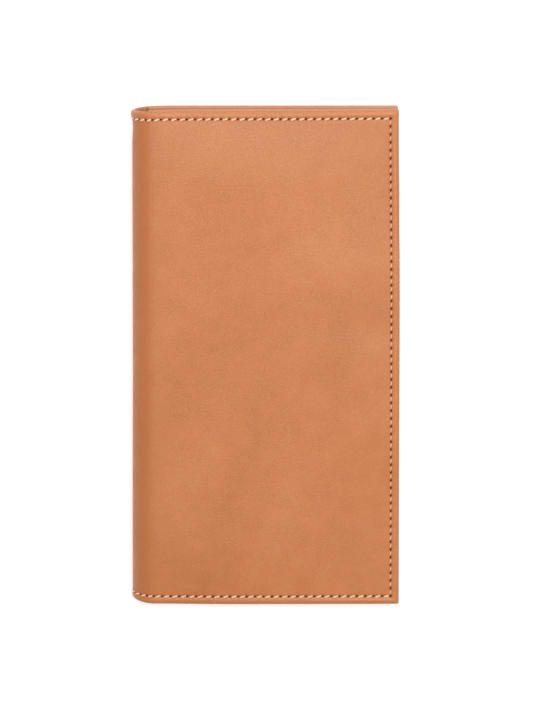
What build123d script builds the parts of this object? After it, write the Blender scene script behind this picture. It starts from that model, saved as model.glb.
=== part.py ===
# A long book-style leather wallet, lying closed on its back cover. Millimetres.
#
# X runs from the spine (-X) to the open edge (+X), Y along the spine, and Z up.
# The origin is the middle of the closed wallet's footprint, on the surface that it lies on.
# The wallet is two sewn halves, joined by the outer leather and its lining, which run round the spine.
# The back half lies below and its inside faces up. The front half lies on it, turned over.
# Both halves are measured by depth: 0 is the outer face of the cover, and more is further inside.

from build123d import *

import os
from math import cos, radians, sin, tan

# ---- the closed wallet ----
WIDTH = 100.0  # spine to open edge
HEIGHT = 188.0  # along the spine
THICKNESS = 16.0  # over both covers
CORNER_R = 1.0
EDGE_BEVEL = 0.3
FOLDS = 6  # equal folds that the spine makes in its half turn

# ---- leather, thread and air ----
COVER_T = 1.4
LINING_T = 0.4
NOTE_GAP = 0.7  # room for banknotes
DIVIDER_T = 0.8
PAPER_GAP = 0.5  # room for papers
BASE_T = 0.8
STRIP_SEAM_W = 6.0  # strips in the seams that keep those two gaps
SEAM_INSET = 3.1  # seam to cut edge
THREAD_W = 0.6
THREAD_T = 0.35
GAP = 0.05  # air between pieces that lie on each other
SIDE_GAP = 0.1  # air between pieces that lie side by side
SPINE_CLEARANCE = 1.5  # from the start of the spine's curve to where the inner panels may end

# ---- card pockets, in the front half ----
CARD_POCKETS = 8
CARD_T = 0.6
CARD_PITCH = 0.7  # rise of one pocket over the next
CARD_STEP = 14.0
FIRST_MOUTH_Y = 78.0
POCKET_DEPTH = 50.0  # 4 mm of a standard 54 mm card stays out
RAMP = 3.0  # a pocket comes down past the foot of the one behind it in this length

# ---- zipped coin pocket and slip pocket, in the back half ----
ZIP_Y = 68.0
ZIP_OPENING = 6.4  # between the leather edges beside the teeth
ZIP_LENGTH = 78.0
TAPE_W = 10.0
TAPE_T = 0.25
TOOTH_PITCH = 1.5
TOOTH_T = 1.2
TOOTH_RISE = 0.9  # base panel to teeth
TOOTH_INNER = 0.4  # middle line to a row's nearer side
TOOTH_ROOT = 1.2
TOOTH_OUTER = 2.1  # middle line to a row's further side
STOP_W = 1.0
BAG_T = 0.25
BAG_CORNER_R = 3.0
BAG_MARGIN = 1.0  # bag to the side strips
BAG_OVER_ZIP = 4.0  # bag past the upper leather edge of the zip
COIN_T = 0.8
SLIP_T = 0.7
SLIP_MOUTH_Y = 6.0
THUMB_R = 9.0
SEAM_OVERRUN = 1.0  # a side seam runs on this far past the mouth of the pocket it holds
ZIP_ROW = 1.6  # seam to leather edge, beside the zip

# ---- slider and puller ----
SLIDER_L, SLIDER_W, SLIDER_R = 7.0, 5.6, 1.4
SLIDER_TO_STOP = 1.1
PLATE_T = 0.45
FLANGE_L, FLANGE_W = 4.0, 0.5
POST_L, POST_W = 1.0, 0.5
BAIL_L, BAIL_W, BAIL_H, BAIL_T = 4.6, 1.0, 0.95, 0.3
PULLER_L, PULLER_W, PULLER_T = 12.0, 4.0, 0.45
PULLER_BAR = 1.1  # the part of the puller that the bail goes over
EYE_L, EYE_W = 2.8, 2.0

# ---- worked out from those ----
BACK, FRONT = 1, -1  # the way that depth runs along Z in each half
SPINE_R = THICKNESS / 2
SPINE_X = SPINE_R - WIDTH / 2
OPEN_X = WIDTH / 2
END_Y = HEIGHT / 2
TURN = 180.0 / FOLDS
MITRE = tan(radians(TURN / 2))
STRIP_W = 2 * SPINE_R * MITRE
FOLD_X = SPINE_X - STRIP_W / 2  # first and last fold
PANEL_X = SPINE_X - SPINE_CLEARANCE
PANEL_W = OPEN_X - PANEL_X
PANEL_MIDDLE = (OPEN_X + PANEL_X) / 2
SEAM_X = OPEN_X - SEAM_INSET
SEAM_Y = END_Y - SEAM_INSET
INNER_SEAM_X = PANEL_X + SEAM_INSET
GROOVE_W = THREAD_W + 2 * SIDE_GAP
GROOVE_T = THREAD_T + 2 * GAP
ABOVE = 1.0  # how far a cutter stands out of the face that it cuts

NOTE_D = COVER_T + LINING_T
DIVIDER_D = NOTE_D + NOTE_GAP
PAPER_D = DIVIDER_D + DIVIDER_T
BASE_D = PAPER_D + PAPER_GAP
INSIDE_D = BASE_D + BASE_T
CARD_D = INSIDE_D + SIDE_GAP
TOOTH_D = INSIDE_D + TOOTH_RISE
TAPE_D = TOOTH_D + (TOOTH_T - TAPE_T) / 2
COIN_D = TAPE_D + TAPE_T + GAP
SLIP_D = COIN_D + COIN_T + GAP
UPPER_EDGE_Y = ZIP_Y + ZIP_OPENING / 2
LOWER_EDGE_Y = ZIP_Y - ZIP_OPENING / 2
UPPER_ROW_Y = UPPER_EDGE_Y + ZIP_ROW
LOWER_ROW_Y = LOWER_EDGE_Y - ZIP_ROW
SLIDER_X = PANEL_MIDDLE + (ZIP_LENGTH + STOP_W - SLIDER_L) / 2 - SLIDER_TO_STOP
PULLER_D = TOOTH_D + TOOTH_T + 2 * GAP + PLATE_T + SIDE_GAP

TAN = Color(0.80, 0.47, 0.27)
PALE_TAN = Color(0.86, 0.60, 0.40)
BROWN_CLOTH = Color(0.45, 0.30, 0.20)
CREAM = Color(0.93, 0.85, 0.68)
BRASS = Color(0.80, 0.62, 0.28)

os.makedirs("parts", exist_ok=True)


def finish(piece, name, colour):
    """Labels a finished piece and writes its STEP file."""
    piece.part.label = name
    piece.part.color = colour
    export_step(piece.part, f"parts/{name}.step")


def depth_plane(half, depth):
    """The plane at one depth of a half, facing inwards. In the front half its Y runs along -Y."""
    level = depth if half == BACK else THICKNESS - depth
    return Plane(origin=(0, 0, level), x_dir=(1, 0, 0), z_dir=(0, 0, half))


def open_corners(piece):
    """The upright edges of a piece at the wallet's two open-side corners."""
    upright = piece.edges().filter_by(Axis.Z).filter_by_position(Axis.X, OPEN_X - GAP, OPEN_X + GAP)
    low = upright.filter_by_position(Axis.Y, -END_Y - GAP, -END_Y + GAP)
    high = upright.filter_by_position(Axis.Y, END_Y - GAP, END_Y + GAP)
    return low + high


# ---- the shell: outer leather and lining, round the spine from cover to cover ----
def shell_face(number):
    """Start, run and inward directions of one outer face: 0 is the back cover, FOLDS the front cover."""
    x, z = FOLD_X, 0.0
    for fold in range(1, number):
        x -= STRIP_W * cos(radians(fold * TURN))
        z += STRIP_W * sin(radians(fold * TURN))
    turn = radians(number * TURN)
    return Vector(x, 0, z), Vector(-cos(turn), 0, sin(turn)), Vector(sin(turn), 0, cos(turn))


def shell_layer(number, depth, thickness):
    """One layer of a cover or spine strip. Its ends at a fold are mitred, and close as the fold closes."""
    start, run, inward = shell_face(number)
    outer = depth * MITRE + GAP
    inner = (depth + thickness) * MITRE + GAP
    is_cover = number in (0, FOLDS)
    way = -1 if number == 0 else 1
    length = OPEN_X - FOLD_X if is_cover else STRIP_W
    far_outer = length if is_cover else length - outer
    far_inner = length if is_cover else length - inner
    with BuildPart() as layer:
        with BuildSketch(Plane(origin=start, x_dir=run, z_dir=run.cross(inward))):
            with BuildLine():
                Polyline(
                    (way * outer, depth),
                    (way * far_outer, depth),
                    (way * far_inner, depth + thickness),
                    (way * inner, depth + thickness),
                    close=True,
                )
            make_face()
        extrude(amount=END_Y, both=True)
    return layer


def edge_seam(half, depth, thickness, width, start_x):
    """A band along the edge seam: both ends of the wallet and its open side."""
    reach = SEAM_X - start_x
    with BuildPart() as band:
        with BuildSketch(depth_plane(half, depth)):
            with Locations((start_x, 0)):
                Rectangle(reach + width / 2, 2 * SEAM_Y + width, align=(Align.MIN, Align.CENTER))
            with Locations((start_x, 0)):
                Rectangle(
                    reach - width / 2,
                    2 * SEAM_Y - width,
                    align=(Align.MIN, Align.CENTER),
                    mode=Mode.SUBTRACT,
                )
        extrude(amount=thickness)
    return band


def make_cover(half, side):
    """One cover, its lining, and the thread of its edge seam in a groove of the leather."""
    number = 0 if half == BACK else FOLDS
    blank = shell_layer(number, 0, COVER_T)
    groove = edge_seam(half, -ABOVE, ABOVE + GROOVE_T, GROOVE_W, FOLD_X - 1)
    with BuildPart() as cover:
        add(blank.part)
        fillet(open_corners(cover), CORNER_R)
        outside = cover.faces().sort_by(Axis.Z)[0 if half == BACK else -1]
        chamfer(outside.edges().filter_by_position(Axis.X, FOLD_X + 1, OPEN_X), EDGE_BEVEL)
        add(groove.part, mode=Mode.SUBTRACT)
    finish(cover, f"{side}_cover", TAN)

    sheet = shell_layer(number, COVER_T, LINING_T)
    with BuildPart() as lining:
        add(sheet.part)
        fillet(open_corners(lining), CORNER_R)
    finish(lining, f"{side}_lining", PALE_TAN)

    thread = edge_seam(half, GAP, THREAD_T, THREAD_W, FOLD_X + 2 * SIDE_GAP)
    finish(thread, f"{side}_seam_thread", CREAM)


def make_spine_strip(number):
    """The leather, lining and two end stitches of one strip between two folds."""
    start, run, inward = shell_face(number)
    outside = Plane(origin=start, x_dir=run, z_dir=inward)
    blank = shell_layer(number, 0, COVER_T)
    with BuildPart() as leather:
        add(blank.part)
        with BuildSketch(outside.offset(-ABOVE)):
            with Locations((STRIP_W / 2, SEAM_Y), (STRIP_W / 2, -SEAM_Y)):
                Rectangle(2 * STRIP_W, GROOVE_W)
        extrude(amount=ABOVE + GROOVE_T, mode=Mode.SUBTRACT)
    finish(leather, f"spine_leather_{number}", TAN)
    finish(shell_layer(number, COVER_T, LINING_T), f"spine_lining_{number}", PALE_TAN)

    with BuildPart() as thread:
        with BuildSketch(outside.offset(GAP)):
            with Locations((STRIP_W / 2, SEAM_Y), (STRIP_W / 2, -SEAM_Y)):
                Rectangle(STRIP_W - 4 * SIDE_GAP, THREAD_W)
        extrude(amount=THREAD_T)
    finish(thread, f"spine_thread_{number}", CREAM)


# ---- panels, and the strips that keep their gaps ----
def panel(half, depth, thickness, y0=-END_Y, y1=END_Y):
    """A flat panel from the spine side to the open edge."""
    with BuildPart() as sheet:
        with BuildSketch(depth_plane(half, depth)):
            with Locations((PANEL_MIDDLE, half * (y0 + y1) / 2)):
                Rectangle(PANEL_W, y1 - y0)
        extrude(amount=thickness)
        fillet(open_corners(sheet), CORNER_R)
    return sheet


def edge_strips(half, depth, thickness, spine_side=False):
    """Strips along both ends and the open edge, and along the spine side where it is closed too."""
    side_x = [OPEN_X - STRIP_SEAM_W / 2]
    if spine_side:
        side_x.append(PANEL_X + STRIP_SEAM_W / 2)
    end_y = END_Y - STRIP_SEAM_W / 2
    with BuildPart() as strips:
        with BuildSketch(depth_plane(half, depth)):
            with Locations((PANEL_MIDDLE, end_y), (PANEL_MIDDLE, -end_y)):
                Rectangle(PANEL_W, STRIP_SEAM_W)
            with Locations(*[(x, 0) for x in side_x]):
                Rectangle(STRIP_SEAM_W, HEIGHT - 2 * STRIP_SEAM_W - 2 * SIDE_GAP)
        extrude(amount=thickness)
        fillet(open_corners(strips), CORNER_R)
    return strips


def make_long_pockets(half, side):
    """Banknote pocket and paper pocket of one half, up to the panel that carries the small pockets."""
    note_strips = edge_strips(half, NOTE_D + GAP, NOTE_GAP - 2 * GAP)
    finish(note_strips, f"{side}_note_pocket_strips", PALE_TAN)
    finish(panel(half, DIVIDER_D, DIVIDER_T), f"{side}_divider", PALE_TAN)
    paper_strips = edge_strips(half, PAPER_D + GAP, PAPER_GAP - 2 * GAP)
    finish(paper_strips, f"{side}_paper_pocket_strips", PALE_TAN)


def seam_bars(half, depth, thickness, width, runs):
    """Straight bars of thread or groove. A run is (x0, y0, x1, y1), along X or Y."""
    with BuildPart() as bars:
        with BuildSketch(depth_plane(half, depth)):
            for x0, y0, x1, y1 in runs:
                with Locations(((x0 + x1) / 2, half * (y0 + y1) / 2)):
                    Rectangle(abs(x1 - x0) + width, abs(y1 - y0) + width)
        extrude(amount=thickness)
    return bars


# ---- card pockets ----
def pocket_mouth(number):
    """Y of a card pocket's mouth. Pocket 1 is the highest and lies nearest the base panel."""
    return FIRST_MOUTH_Y - CARD_STEP * (number - 1)


def pocket_foot(number):
    """Y of a card pocket's lower edge. The last pocket runs down to the edge seam."""
    return -END_Y if number == CARD_POCKETS else pocket_mouth(number) - POCKET_DEPTH


def pocket_depth(number, y):
    """Depth of a card pocket's outer side at y: each pocket behind it lifts it as far as its foot."""
    shares = [(y - pocket_foot(behind)) / RAMP + 1 for behind in range(1, number)]
    return CARD_D + CARD_PITCH * sum(min(1.0, max(0.0, share)) for share in shares)


def pocket_band(number, y0, y1, near, far, x0, width):
    """A strip that follows a card pocket from y0 to y1, between two offsets from its outer side."""
    bends = [pocket_foot(behind) + step for behind in range(1, number) for step in (-RAMP, 0)]
    ys = [y0, *sorted(y for y in bends if y0 < y < y1), y1]
    near_side = [(y, THICKNESS - pocket_depth(number, y) - near) for y in ys]
    far_side = [(y, THICKNESS - pocket_depth(number, y) - far) for y in reversed(ys)]
    with BuildPart() as band:
        with BuildSketch(Plane.YZ.offset(x0)):
            with BuildLine():
                Polyline(*near_side, *far_side, close=True)
            make_face()
        extrude(amount=width)
    return band


def make_card_pockets():
    """The base panel with its overlapping card pockets, and the thread of their spine-side seam."""
    runs = [(INNER_SEAM_X, FIRST_MOUTH_Y + SEAM_OVERRUN, INNER_SEAM_X, SEAM_Y)]
    base_blank = panel(FRONT, BASE_D, BASE_T)
    base_groove = seam_bars(FRONT, INSIDE_D - GROOVE_T, GROOVE_T + ABOVE, GROOVE_W, runs)
    with BuildPart() as base:
        add(base_blank.part)
        add(base_groove.part, mode=Mode.SUBTRACT)
    finish(base, "card_base_panel", PALE_TAN)

    stitches = [seam_bars(FRONT, INSIDE_D - GAP - THREAD_T, THREAD_T, THREAD_W, runs)]
    groove_x = INNER_SEAM_X - GROOVE_W / 2
    thread_x = INNER_SEAM_X - THREAD_W / 2
    for number in range(1, CARD_POCKETS + 1):
        mouth = pocket_mouth(number)
        is_last = number == CARD_POCKETS
        seen_from = -END_Y if is_last else pocket_mouth(number + 1)
        sewn_from = -SEAM_Y if is_last else seen_from + SIDE_GAP
        blank = pocket_band(number, pocket_foot(number), mouth, 0, CARD_T, PANEL_X, PANEL_W)
        groove = pocket_band(number, seen_from, mouth, CARD_T - GROOVE_T, CARD_T + ABOVE, groove_x, GROOVE_W)
        with BuildPart() as pocket:
            add(blank.part)
            add(groove.part, mode=Mode.SUBTRACT)
        finish(pocket, f"card_pocket_{number}", TAN)
        near = CARD_T - GAP - THREAD_T
        stitches.append(pocket_band(number, sewn_from, mouth, near, CARD_T - GAP, thread_x, THREAD_W))
    with BuildPart() as thread:
        for stitch in stitches:
            add(stitch.part)
    finish(thread, "card_seam_thread", CREAM)


# ---- coin pocket, its zip, and the slip pocket on it ----
def make_coin_bag():
    """Base panel, bag lining and side strips of the coin pocket."""
    finish(panel(BACK, BASE_D, BASE_T), "coin_base_panel", PALE_TAN)
    bag_top = UPPER_EDGE_Y + BAG_OVER_ZIP
    bag_bottom = STRIP_SEAM_W + BAG_MARGIN - END_Y
    bag_w = PANEL_W - 2 * (STRIP_SEAM_W + BAG_MARGIN)
    with BuildPart() as bag:
        with BuildSketch(depth_plane(BACK, INSIDE_D + GAP)):
            with Locations((PANEL_MIDDLE, (bag_top + bag_bottom) / 2)):
                RectangleRounded(bag_w, bag_top - bag_bottom, BAG_CORNER_R)
        extrude(amount=BAG_T)
    finish(bag, "coin_bag_lining", BROWN_CLOTH)
    strips = edge_strips(BACK, INSIDE_D + GAP, TAPE_D - INSIDE_D - 2 * GAP, spine_side=True)
    finish(strips, "coin_pocket_strips", TAN)


def make_coin_leather():
    """Leather header above the zip, leather front below it, the slip pocket, and their thread."""
    side = INNER_SEAM_X
    across = SEAM_X - THREAD_W
    header_runs = [(side, UPPER_ROW_Y, across, UPPER_ROW_Y), (side, UPPER_ROW_Y, side, SEAM_Y - THREAD_W)]
    above_slip = SLIP_MOUTH_Y + SEAM_OVERRUN
    front_runs = [(side, LOWER_ROW_Y, across, LOWER_ROW_Y), (side, above_slip, side, LOWER_ROW_Y)]
    slip_runs = [(side, -SEAM_Y, side, SLIP_MOUTH_Y - SEAM_OVERRUN)]
    sewn = (
        ("zip_header", COIN_D, COIN_T, UPPER_EDGE_Y, END_Y, header_runs),
        ("coin_pocket_front", COIN_D, COIN_T, -END_Y, LOWER_EDGE_Y, front_runs),
        ("slip_pocket", SLIP_D, SLIP_T, -END_Y, SLIP_MOUTH_Y, slip_runs),
    )
    stitches = []
    for name, depth, thickness, y0, y1, runs in sewn:
        top = depth + thickness
        blank = panel(BACK, depth, thickness, y0, y1)
        groove = seam_bars(BACK, top - GROOVE_T, GROOVE_T + ABOVE, GROOVE_W, runs)
        with BuildPart() as sheet:
            add(blank.part)
            add(groove.part, mode=Mode.SUBTRACT)
            if name == "slip_pocket":
                with BuildSketch(depth_plane(BACK, depth - GAP)):
                    with Locations((PANEL_MIDDLE, SLIP_MOUTH_Y)):
                        Circle(THUMB_R)
                extrude(amount=ABOVE, mode=Mode.SUBTRACT)
        finish(sheet, name, TAN)
        stitches.append(seam_bars(BACK, top - GAP - THREAD_T, THREAD_T, THREAD_W, runs))
    with BuildPart() as thread:
        for stitch in stitches:
            add(stitch.part)
    finish(thread, "coin_seam_thread", CREAM)


def make_zip():
    """Two tapes, each with a row of teeth clipped over its edge, and the stops past the teeth."""
    cut_back = 2 * (TOOTH_OUTER + GAP)
    for name, way in (("upper", 1), ("lower", -1)):
        with BuildPart() as tape:
            with BuildSketch(depth_plane(BACK, TAPE_D)):
                with Locations((PANEL_MIDDLE, ZIP_Y + way * (TOOTH_INNER + TAPE_W / 2))):
                    Rectangle(PANEL_W - 2 * SIDE_GAP, TAPE_W)
                with Locations((PANEL_MIDDLE, ZIP_Y)):
                    Rectangle(ZIP_LENGTH + 4 * STOP_W, cut_back, mode=Mode.SUBTRACT)
            extrude(amount=TAPE_T)
        finish(tape, f"zip_tape_{name}", BROWN_CLOTH)

        shift = way * TOOTH_PITCH / 4  # the rows are half a pitch apart
        with BuildPart() as row:
            with BuildSketch(depth_plane(BACK, TOOTH_D)):
                with Locations((PANEL_MIDDLE + shift, ZIP_Y + way * (TOOTH_ROOT + TOOTH_OUTER) / 2)):
                    Rectangle(ZIP_LENGTH - TOOTH_PITCH, TOOTH_OUTER - TOOTH_ROOT)
                with Locations((PANEL_MIDDLE + shift, ZIP_Y + way * (TOOTH_INNER + TOOTH_ROOT) / 2)):
                    with GridLocations(TOOTH_PITCH, 1, int(ZIP_LENGTH / TOOTH_PITCH), 1):
                        Rectangle(TOOTH_PITCH / 2, TOOTH_ROOT - TOOTH_INNER)
            extrude(amount=TOOTH_T)
        finish(row, f"zip_teeth_{name}", BRASS)

    for name, way in (("open", -1), ("closed", 1)):
        with BuildPart() as stop:
            with BuildSketch(depth_plane(BACK, TOOTH_D)):
                with Locations((PANEL_MIDDLE + way * (ZIP_LENGTH / 2 + STOP_W), ZIP_Y)):
                    RectangleRounded(STOP_W, cut_back - 4 * SIDE_GAP, STOP_W / 3)
            extrude(amount=TOOTH_T)
        finish(stop, f"zip_stop_{name}", BRASS)


def make_slider():
    """Slider: two plates on a post between the rows, side flanges, and a bail over the puller's bar."""
    upper = PULLER_D - SIDE_GAP - PLATE_T
    lower = TOOTH_D - 2 * GAP - PLATE_T
    flange_top = upper + PLATE_T / 2
    flange_h = flange_top - TAPE_D - TAPE_T - SIDE_GAP
    flange_y = (SLIDER_W - FLANGE_W) / 2
    with BuildPart() as slider:
        for depth in (lower, upper):
            with BuildSketch(depth_plane(BACK, depth)):
                with Locations((SLIDER_X, ZIP_Y)):
                    RectangleRounded(SLIDER_L, SLIDER_W, SLIDER_R)
            extrude(amount=PLATE_T)
        with BuildSketch(depth_plane(BACK, lower)):
            with Locations((SLIDER_X + SLIDER_L / 2 - POST_L, ZIP_Y)):
                Rectangle(POST_L, POST_W)
        extrude(amount=upper + PLATE_T - lower)
        with BuildSketch(depth_plane(BACK, flange_top)):
            with Locations((SLIDER_X, ZIP_Y + flange_y), (SLIDER_X, ZIP_Y - flange_y)):
                Rectangle(FLANGE_L, FLANGE_W)
        extrude(amount=-flange_h)
        foot = (SLIDER_X, ZIP_Y, upper + PLATE_T)
        with BuildSketch(Plane(origin=foot, x_dir=(1, 0, 0), z_dir=(0, -1, 0))):
            Rectangle(BAIL_L, BAIL_H, align=(Align.CENTER, Align.MIN))
            Rectangle(
                BAIL_L - 2 * BAIL_T,
                BAIL_H - BAIL_T,
                align=(Align.CENTER, Align.MIN),
                mode=Mode.SUBTRACT,
            )
        extrude(amount=BAIL_W / 2, both=True)
    finish(slider, "zip_slider", BRASS)


def make_puller():
    """Puller: a flat tab whose bar lies under the slider's bail, with an eye beside the bar."""
    with BuildPart() as puller:
        with BuildSketch(depth_plane(BACK, PULLER_D)):
            with Locations((SLIDER_X + (PULLER_BAR - PULLER_L) / 2, ZIP_Y)):
                SlotOverall(PULLER_L, PULLER_W)
            with Locations((SLIDER_X - (PULLER_BAR + EYE_L) / 2, ZIP_Y)):
                SlotOverall(EYE_L, EYE_W, mode=Mode.SUBTRACT)
        extrude(amount=PULLER_T)
    finish(puller, "zip_puller", BRASS)


# ---- every piece ----
for half, side in ((BACK, "back"), (FRONT, "front")):
    make_cover(half, side)
    make_long_pockets(half, side)
for strip in range(1, FOLDS):
    make_spine_strip(strip)
make_card_pockets()
make_coin_bag()
make_coin_leather()
make_zip()
make_slider()
make_puller()
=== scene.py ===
import math

import bpy
import numpy as np
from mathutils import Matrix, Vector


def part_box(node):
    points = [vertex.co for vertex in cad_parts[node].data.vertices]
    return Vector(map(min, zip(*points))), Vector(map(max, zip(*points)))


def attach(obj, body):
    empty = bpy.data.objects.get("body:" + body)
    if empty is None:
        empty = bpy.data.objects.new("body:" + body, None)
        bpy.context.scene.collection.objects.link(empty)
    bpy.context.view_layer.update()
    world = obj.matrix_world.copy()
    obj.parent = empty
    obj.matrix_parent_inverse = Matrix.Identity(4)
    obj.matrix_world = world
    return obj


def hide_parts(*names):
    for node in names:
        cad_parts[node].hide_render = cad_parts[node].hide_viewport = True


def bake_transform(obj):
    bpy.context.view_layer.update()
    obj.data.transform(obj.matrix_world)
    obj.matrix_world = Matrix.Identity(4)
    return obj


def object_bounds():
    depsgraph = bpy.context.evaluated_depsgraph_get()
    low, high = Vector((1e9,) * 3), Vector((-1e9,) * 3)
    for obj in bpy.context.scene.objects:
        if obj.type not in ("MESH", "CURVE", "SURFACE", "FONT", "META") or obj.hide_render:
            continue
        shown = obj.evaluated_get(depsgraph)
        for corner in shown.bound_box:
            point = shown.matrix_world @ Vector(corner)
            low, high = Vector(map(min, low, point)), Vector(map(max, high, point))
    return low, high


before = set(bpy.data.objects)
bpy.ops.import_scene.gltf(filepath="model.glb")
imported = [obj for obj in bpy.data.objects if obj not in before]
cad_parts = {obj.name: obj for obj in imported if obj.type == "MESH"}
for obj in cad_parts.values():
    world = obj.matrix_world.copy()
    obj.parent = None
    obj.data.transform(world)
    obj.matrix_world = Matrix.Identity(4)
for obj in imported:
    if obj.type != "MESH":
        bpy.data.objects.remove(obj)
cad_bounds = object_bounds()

# Long wallet of tan leather, closed and lying on its back cover.
# Sheets are described in millimetres by two parameters and a depth below the outer face of their half.

MM = 0.001


def cad(node):
    """Low and high corner of a CAD node's box, in millimetres."""
    low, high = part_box(node)
    return np.array(low) / MM, np.array(high) / MM


# ---- sizes taken from the CAD boxes ----
LOW, HIGH = (np.array(corner) / MM for corner in cad_bounds)
OPEN_X, END_Y, THICK = HIGH
RADIUS = THICK / 2
SPINE_X = LOW[0] + RADIUS
ARC = math.pi * RADIUS
COVER_T = cad("back_cover")[1][2]
LINING_D = cad("back_lining")[1][2]
PANEL_X = cad("coin_base_panel")[0][0]
PANEL_MIDDLE = (PANEL_X + OPEN_X) / 2
THREAD_W = 0.6
SEAM_X, SEAM_Y = cad("front_seam_thread")[1][:2] - THREAD_W / 2
INNER_SEAM_X = cad("card_seam_thread")[0][0] + THREAD_W / 2
CORNER_R = 0.5
CARD_POCKETS = 8
CARD_T = 0.6
CARD_PITCH = 0.7  # rise of one pocket over the next
CARD_RAMP = 3.0  # length in which a pocket comes down past the foot of the one behind it
CARD_D = THICK - cad("card_pocket_1")[1][2]
MOUTHS = [cad(f"card_pocket_{n}")[1][1] for n in range(1, CARD_POCKETS + 1)]
FEET = [cad(f"card_pocket_{n}")[0][1] for n in range(1, CARD_POCKETS + 1)]
HEADER_Y = cad("zip_header")[0][1]
COIN_Y = cad("coin_pocket_front")[1][1]
ZIP_Y = (HEADER_Y + COIN_Y) / 2
SLIP_Y = cad("slip_pocket")[1][1]
ZIP_ROW = 1.6  # seam to leather edge, beside the zip
HEADER_ROW_Y = HEADER_Y + ZIP_ROW
COIN_ROW_Y = COIN_Y - ZIP_ROW
THUMB_R = 9.0
TOOTH_PITCH = 1.5
STRIP_W = 6.0
FOLDS = 6
FOLD_ARC = ARC / FOLDS


# ---- small functions ----
def smooth(t):
    """3t² - 2t³ between 0 and 1, and flat outside."""
    t = np.clip(t, 0.0, 1.0)
    return t * t * (3 - 2 * t)


def tail(t):
    """(1 - t)² from t = 0 to 1, and 0 beyond."""
    return np.clip(1 - t, 0.0, None) ** 2


def spread(start, end, step):
    """Even lines from start to end, at most a step apart."""
    return np.linspace(start, end, max(2, math.ceil(abs(end - start) / step) + 1))


def lines(*groups, near=0.03):
    """All lines in order, without those that nearly repeat the one before."""
    values = np.sort(np.concatenate([np.atleast_1d(group) for group in groups]))
    kept = values[np.concatenate([[True], np.diff(values) > near])]
    kept[-1] = values[-1]
    return kept


RIM = np.array([0, 0.05, 0.12, 0.22, 0.35, 0.6, 1.0, 1.15, 1.3, 1.45, 1.6])  # lines inside a cut edge
THIN_RIM = np.array([0, 0.05, 0.12, 0.22, 0.35, 0.8, 1.15, 1.3, 1.45, 2.0])
BAR_RIM = THIN_RIM[:6]  # the same for the inner edge of a narrow bar
ACROSS_SEAM = np.array([-0.9, -0.55, -0.28, 0, 0.28, 0.55, 0.9])  # lines beside a seam
AT_HOLE = np.array([-0.5, 0, 0.5])


def joined(start, end, step):
    """Even lines with one more close to both ends, so that the shading runs on into the next piece."""
    close = 0.02
    return lines(spread(start, end, step), start + close, end - close, near=close / 2)


def hole_lines(holes):
    """Lines before, at and after each stitch hole and half way to the next."""
    return lines((holes[:, None] + AT_HOLE).ravel(), (holes[1:] + holes[:-1]) / 2)


# ---- how the closed wallet lies ----
def dip(y, upper, lower):
    """Comes down at both ends, each by its height times the tail of the distance over its reach."""
    return upper[0] * tail((END_Y - y) / upper[1]) + lower[0] * tail((y + END_Y) / lower[1])


def spine_sag(y):
    """How far the front cover comes down at the spine."""
    return dip(y, upper=(1.6, 28), lower=(1.5, 26))


def end_sag(y):
    """How much further it comes down in the middle of the cover."""
    return dip(y, upper=(1.2, 30), lower=(0.2, 26))


# How far the open edge comes down at each y, where few card pockets hold it up.
EDGE_KNOTS = np.array([(-94, 2.3), (-60, 2.3), (-50, 1.6), (-37, 0.9), (-26, 0.3), (4, 0.3), (10, 0.9),
                       (34, 1.0), (43, 1.6), (57, 2.3), (74, 2.9), (86, 3.5), (94, 3.6)])
EDGE_Y = np.arange(-110, 110.1, 0.5)
EDGE_BLUR = np.exp(-((np.arange(-24, 25) / 9.0) ** 2))
EDGE_EXTRA = np.maximum(np.interp(EDGE_Y, *EDGE_KNOTS.T) - spine_sag(EDGE_Y) - end_sag(EDGE_Y), 0.0)
EDGE_EXTRA = np.convolve(EDGE_EXTRA, EDGE_BLUR / EDGE_BLUR.sum(), mode="same")


def sag(x, y):
    """How far the front half comes down: as at the spine, more in the middle and most at the open edge,
    with soft waves 0.10 sin(x/17 + 1.3) sin(y/23 + 0.4) + 0.05 sin(x/9 + y/14 + 2)."""
    away = smooth((x - SPINE_X) / 27)
    edge = smooth((x + 5) / (OPEN_X + 5)) * np.interp(y, EDGE_Y, EDGE_EXTRA)
    waves = 0.10 * np.sin(x / 17 + 1.3) * np.sin(y / 23 + 0.4) + 0.05 * np.sin(x / 9 + y / 14 + 2)
    return spine_sag(y) + edge + away * (end_sag(y) + 0.15 * tail((OPEN_X - x) / 12) + waves)


def drawn_in(run, y):
    """Y after the fold has drawn both ends in: most half way round the spine, fading away from the end.
    run is how far a point lies beyond the start of the spine, and negative in the covers."""
    half_way, reach = ARC / 2, 15
    middle = np.where(run > half_way, ARC - run, run)
    upper = 0.6 * smooth((middle + 7) / (half_way + 7))
    lower = 0.3 * smooth((middle + 30) / 30) + 1.5 * np.clip(middle / half_way, 0, 1) ** 1.6
    return y - upper * tail((END_Y - y) / reach) + lower * tail((y + END_Y) / reach)


def rounded(x, y):
    """The squares of side r at the open corners become quarter discs: a √(1 - b²/2) and b √(1 - a²/2)."""
    start_x, start_y = OPEN_X - CORNER_R, END_Y - CORNER_R
    most = 1.2  # a little more than 1, for the swollen cut edge
    a = np.clip((x - start_x) / CORNER_R, 0, most)
    b = np.clip((np.abs(y) - start_y) / CORNER_R, 0, most)
    round_x = np.where(a > 0, start_x + CORNER_R * a * np.sqrt(1 - b * b / 2), x)
    round_y = np.where(b > 0, np.sign(y) * (start_y + CORNER_R * b * np.sqrt(1 - a * a / 2)), y)
    return round_x, round_y


def on_back(x, y, depth):
    """Place in the back half: (x, y, depth), with rounded corners. The open edge leans in at the top."""
    x, y = rounded(x, y)
    lean = -0.55 * smooth(x / OPEN_X) * smooth((y - 60) / 34)
    return np.stack([x + lean, drawn_in(SPINE_X - x, y), depth + 0 * x], axis=-1)


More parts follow.
